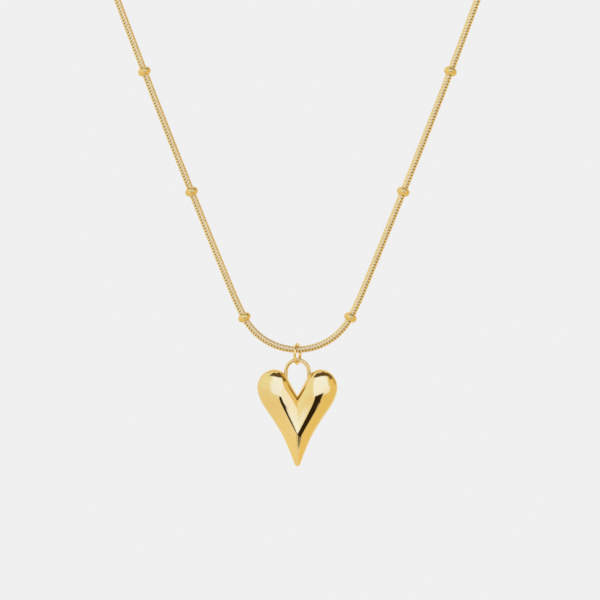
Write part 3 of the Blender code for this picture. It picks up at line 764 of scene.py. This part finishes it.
def clasp_hook():
    """The cast body: an eye, a thick slotted root and a hook that curves under to its nose."""
    path = smooth_curve(HOOK_CURVE, 12)
    end = path[-1][:2]
    nose = [(*(end + NOSE_STEP * step), radius) for step, radius in enumerate(NOSE_RADII, start=1)]
    path = np.vstack([path, nose])
    spine = np.array([clasp_point(along, up) for along, up, _ in path])
    body = solid("lobster_body", *swept(spine, path[:, 2], 28))
    eye_centre = clasp_point(EYE_RADIUS + EYE_WIRE, 0.0)
    combined(body, loop_tool(eye_centre, EYE_RADIUS, EYE_WIRE, Y_AXIS), "UNION")
    low = clasp_point(SLOT_ALONG[0], SLOT_FLOOR) - Y_AXIS * SLOT_WIDTH / 2
    high = clasp_point(SLOT_ALONG[1], 3.0) + Y_AXIS * SLOT_WIDTH / 2
    corners = [(x, y, z) for x in (low[0], high[0]) for y in (low[1], high[1]) for z in (low[2], high[2])]
    sides = [(0, 1, 3, 2), (4, 6, 7, 5), (0, 4, 5, 1), (2, 3, 7, 6), (0, 2, 6, 4), (1, 5, 7, 3)]
    combined(body, solid("slot_tool", corners, sides), "DIFFERENCE")
    as_piece(body, "clasp", "cast", ["clasp_body"], 45.0)


def clasp_lever():
    """The gate with its thumb tab, its rims eased."""
    half = SLOT_WIDTH / 2 - LEVER_PLAY
    outline = smooth_curve(LEVER_CURVE, 8)[:-1]
    front = [clasp_point(along, up) - Y_AXIS * half for along, up in outline]
    back = [point + Y_AXIS * half * 2 for point in front]
    count = len(front)
    faces = [tuple(range(count)), tuple(range(count, 2 * count))[::-1]]
    faces += [(i, (i + 1) % count, (i + 1) % count + count, i + count) for i in range(count)]
    lever = solid("thumb_lever", front + back, faces)
    as_piece(lever, "clasp_lever", "cast", ["clasp_lever"], 40.0)
    ease = lever.modifiers.new("eased rims", "BEVEL")
    ease.width = LEVER_EASE * MM
    ease.segments = 3
    ease.angle_limit = math.radians(60.0)


def rivet():
    """A pin through the clasp's root, with two domed heads."""
    dome = [
        (RIVET_RADIUS * 1.15 * math.cos(angle), RIVET_HEAD + 0.1 * math.sin(angle))
        for angle in np.linspace(0.0, 0.5 * math.pi, 6)
    ]
    profile = [(radius, -height) for radius, height in dome[::-1]] + dome
    centre = clasp_point(RIVET_ALONG, RIVET_UP)
    add_piece("rivet", *turned(profile, centre, Y_AXIS, 28, closed=False), "clasp", "wire", ["clasp_rivet"])


def spring():
    """The small coil under the lever's tail, on a mesh of its own."""
    foot = clasp_point(SPRING_ALONG, SLOT_FLOOR + SPRING_WIRE + TOUCH_GAP)
    share = np.linspace(0.0, 1.0, 24 * COIL_TURNS + 1)[:, None]
    angle = 2.0 * math.pi * COIL_TURNS * share
    radial = X_AXIS * np.cos(angle) + Y_AXIS * np.sin(angle)
    path = foot + radial * SPRING_RADIUS + Z_AXIS * SPRING_HEIGHT * share
    points, faces = swept(path, SPRING_WIRE, 10)
    coil = add_piece("coil_spring", points, faces, "clasp", "spring_steel", ["clasp_spring"], 60.0)
    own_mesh(coil)


def fittings():
    left_loop = end_cap(-1.0)
    right_loop = end_cap(1.0)
    reach = CAP_LOOP_RADIUS - 2 * WIRE_RADIUS - TOUCH_GAP
    ring_centre = left_loop + X_AXIS * (reach + CLASP_RING_RADIUS)
    jump_ring("clasp_jump_ring", "clasp_ring", ring_centre, CLASP_RING_RADIUS, X_AXIS, Y_AXIS, 90.0)
    clasp_hook()
    clasp_lever()
    rivet()
    spring()
    extender(right_loop)


# ---------------------------------------------------------------- stage, light and camera

VIEW_WIDTH = 115.2  # of the picture, across the hanging front
CAMERA_DISTANCE = 550.0
VIEW_CENTRE = LOW_POINT + np.array((0.5, 0.0, 9.5))
BACKGROUND = 0.871
FLOOR_DROP = 165.0
FLOOR_RADIUS = 600.0
FLOOR_TONE = (0.98, 0.90, 0.74)  # a little warm, against the tent's cool light

# The light tent: panels by azimuth (0 in front of the necklace, growing to the picture's right), height
# and softness of edge, all in degrees. A later panel hangs in front of an earlier one. Gold takes most
# of the blue away, so a panel that looks white in it is blue here.
TENT_TONE = (0.90, 0.93, 0.98)
LOW_LEFT = {"azimuth": (-180.0, -5.0), "height": (-80.0, -16.0), "soft": 10.0, "tone": (0.90, 0.90, 0.85)}
HIGH_LEFT = {"azimuth": (-100.0, -27.0), "height": (6.0, 70.0), "soft": 7.0, "tone": (0.91, 1.03, 1.18)}
RIGHT = {"azimuth": (28.0, 115.0), "height": (-80.0, 42.0), "soft": 5.0, "tone": (0.87, 0.78, 0.50)}
FAR_RIGHT = {"azimuth": (84.0, 125.0), "height": (12.0, 60.0), "soft": 6.0, "tone": (0.62, 0.50, 0.25)}
WINDOW = {"azimuth": (-26.0, 43.0), "height": (1.0, 53.0), "soft": 7.0, "tone": (1.0, 1.3, 2.6)}
WINDOW_FOOT = {"azimuth": (26.0, 50.0), "height": (-6.0, 14.0), "soft": 4.0, "tone": (1.0, 1.2, 2.1)}
DARK_FRONT = {"azimuth": (-3.0, 28.0), "height": (-25.0, 1.0), "soft": 2.0, "tone": (0.03, 0.02, 0.01)}
DARK_TOP = {"azimuth": (-45.0, 105.0), "height": (49.0, 76.0), "soft": 3.0, "tone": (0.12, 0.09, 0.05)}
DIM_RIGHT = {"azimuth": (56.0, 102.0), "height": (32.0, 52.0), "soft": 4.0, "tone": (0.20, 0.15, 0.07)}
TENT = (LOW_LEFT, HIGH_LEFT, RIGHT, FAR_RIGHT, WINDOW, WINDOW_FOOT, DARK_FRONT, DARK_TOP, DIM_RIGHT)

TOP_LIGHT = (20.0, 80.0)  # azimuth and height of the lamp over the pendant, in degrees
TOP_LIGHT_DISTANCE = 500.0
TOP_LIGHT_SIZE = (420.0, 300.0)
TOP_LIGHT_STRENGTH = 0.6


def camera():
    data = bpy.data.cameras.new("camera")
    data.sensor_width = 36.0
    data.lens = data.sensor_width * CAMERA_DISTANCE / VIEW_WIDTH
    data.clip_start = 0.01
    holder = bpy.data.objects.new("camera", data)
    holder.location = Vector(VIEW_CENTRE - Y_AXIS * CAMERA_DISTANCE) * MM
    holder.rotation_euler = (math.pi / 2, 0.0, 0.0)
    bpy.context.scene.collection.objects.link(holder)
    bpy.context.scene.camera = holder


def panel_mask(tree, azimuth, height, panel):
    """1 inside a soft-edged rectangle of directions, and 0 outside it."""
    masks = []
    for angle, (low, high) in ((azimuth, panel["azimuth"]), (height, panel["height"])):
        for edge, rising in ((low, True), (high, False)):
            step = tree.nodes.new("ShaderNodeMapRange")
            step.interpolation_type = "SMOOTHSTEP"
            step.inputs["From Min"].default_value = math.radians(edge - panel["soft"])
            step.inputs["From Max"].default_value = math.radians(edge + panel["soft"])
            step.inputs["To Min"].default_value = 0.0 if rising else 1.0
            step.inputs["To Max"].default_value = 1.0 if rising else 0.0
            tree.links.new(angle, step.inputs["Value"])
            masks.append(step.outputs["Result"])
    mask = masks[0]
    for other in masks[1:]:
        product = tree.nodes.new("ShaderNodeMath")
        product.operation = "MULTIPLY"
        tree.links.new(mask, product.inputs[0])
        tree.links.new(other, product.inputs[1])
        mask = product.outputs["Value"]
    return mask


def sky_angles(tree):
    """The azimuth (0 in front of the necklace, growing to its right) and the height of a direction."""
    place = tree.nodes.new("ShaderNodeTexCoord")
    parts = tree.nodes.new("ShaderNodeSeparateXYZ")
    tree.links.new(place.outputs["Generated"], parts.inputs["Vector"])
    front = tree.nodes.new("ShaderNodeMath")
    front.operation = "MULTIPLY"
    front.inputs[1].default_value = -1.0
    tree.links.new(parts.outputs["Y"], front.inputs[0])
    azimuth = tree.nodes.new("ShaderNodeMath")
    azimuth.operation = "ARCTAN2"
    tree.links.new(parts.outputs["X"], azimuth.inputs[0])
    tree.links.new(front.outputs["Value"], azimuth.inputs[1])
    height = tree.nodes.new("ShaderNodeMath")
    height.operation = "ARCSINE"
    tree.links.new(parts.outputs["Z"], height.inputs[0])
    return azimuth.outputs["Value"], height.outputs["Value"]


def world():
    """A pale backdrop for the camera, and a photo tent with its panels and gaps for all that is reflected."""
    scene_world = bpy.data.worlds.new("studio")
    bpy.context.scene.world = scene_world
    scene_world.use_nodes = True
    tree = scene_world.node_tree
    tree.nodes.clear()
    azimuth, height = sky_angles(tree)
    tone = None
    for panel in TENT:
        mix = tree.nodes.new("ShaderNodeMix")
        mix.data_type = "RGBA"
        if tone is None:
            mix.inputs[MIX_FIRST].default_value = (*TENT_TONE, 1.0)
        else:
            tree.links.new(tone, mix.inputs[MIX_FIRST])
        mix.inputs[MIX_SECOND].default_value = (*panel["tone"], 1.0)
        tree.links.new(panel_mask(tree, azimuth, height, panel), mix.inputs["Factor"])
        tone = mix.outputs[MIX_RESULT]
    tent = tree.nodes.new("ShaderNodeBackground")
    tree.links.new(tone, tent.inputs["Color"])
    seen = tree.nodes.new("ShaderNodeBackground")
    seen.inputs["Color"].default_value = (BACKGROUND, BACKGROUND, BACKGROUND, 1.0)
    paths = tree.nodes.new("ShaderNodeLightPath")
    mix = tree.nodes.new("ShaderNodeMixShader")
    out = tree.nodes.new("ShaderNodeOutputWorld")
    tree.links.new(paths.outputs["Is Camera Ray"], mix.inputs["Fac"])
    tree.links.new(tent.outputs["Background"], mix.inputs[1])
    tree.links.new(seen.outputs["Background"], mix.inputs[2])
    tree.links.new(mix.outputs["Shader"], out.inputs["Surface"])


def floor():
    """A pale round floor under the hanging necklace."""
    height = CAD_BOX[0][2] / MM - FLOOR_DROP
    turn = np.linspace(0.0, 2.0 * math.pi, 96, endpoint=False)
    points = np.stack([np.cos(turn) * FLOOR_RADIUS, np.sin(turn) * FLOOR_RADIUS, np.full(96, height)], axis=1)
    mesh = bpy.data.meshes.new("floor")
    mesh.from_pydata((points * MM).tolist(), [], [tuple(range(96))])
    material, _, shader = shader_nodes("pale_floor")
    shader.inputs["Base Color"].default_value = (*FLOOR_TONE, 1.0)
    shader.inputs["Roughness"].default_value = 0.9
    mesh.materials.append(material)
    piece = bpy.data.objects.new("floor", mesh)
    bpy.context.scene.collection.objects.link(piece)
    piece.visible_glossy = False


def top_light():
    """A soft lamp over the pendant, turned to face it. Metal doesn't reflect it."""
    azimuth, height = (math.radians(angle) for angle in TOP_LIGHT)
    level = math.cos(height)
    towards = np.array((math.sin(azimuth) * level, -math.cos(azimuth) * level, math.sin(height)))
    pendant_middle = LOW_POINT - Z_AXIS * 12.0
    width, depth = (side * MM for side in TOP_LIGHT_SIZE)
    data = bpy.data.lights.new("top_box", "AREA")
    data.shape = "RECTANGLE"
    data.size = width
    data.size_y = depth
    data.energy = TOP_LIGHT_STRENGTH * width * depth * math.pi
    light = bpy.data.objects.new("top_box", data)
    light.location = Vector(pendant_middle + towards * TOP_LIGHT_DISTANCE) * MM
    light.rotation_euler = Vector(towards).to_track_quat("Z", "Y").to_euler()
    bpy.context.scene.collection.objects.link(light)
    light.visible_camera = False
    light.visible_glossy = False


chain()
heart()
bail()
pendant_ring()
fittings()
camera()
world()
floor()
top_light()
bpy.context.scene.view_settings.view_transform = "Standard"
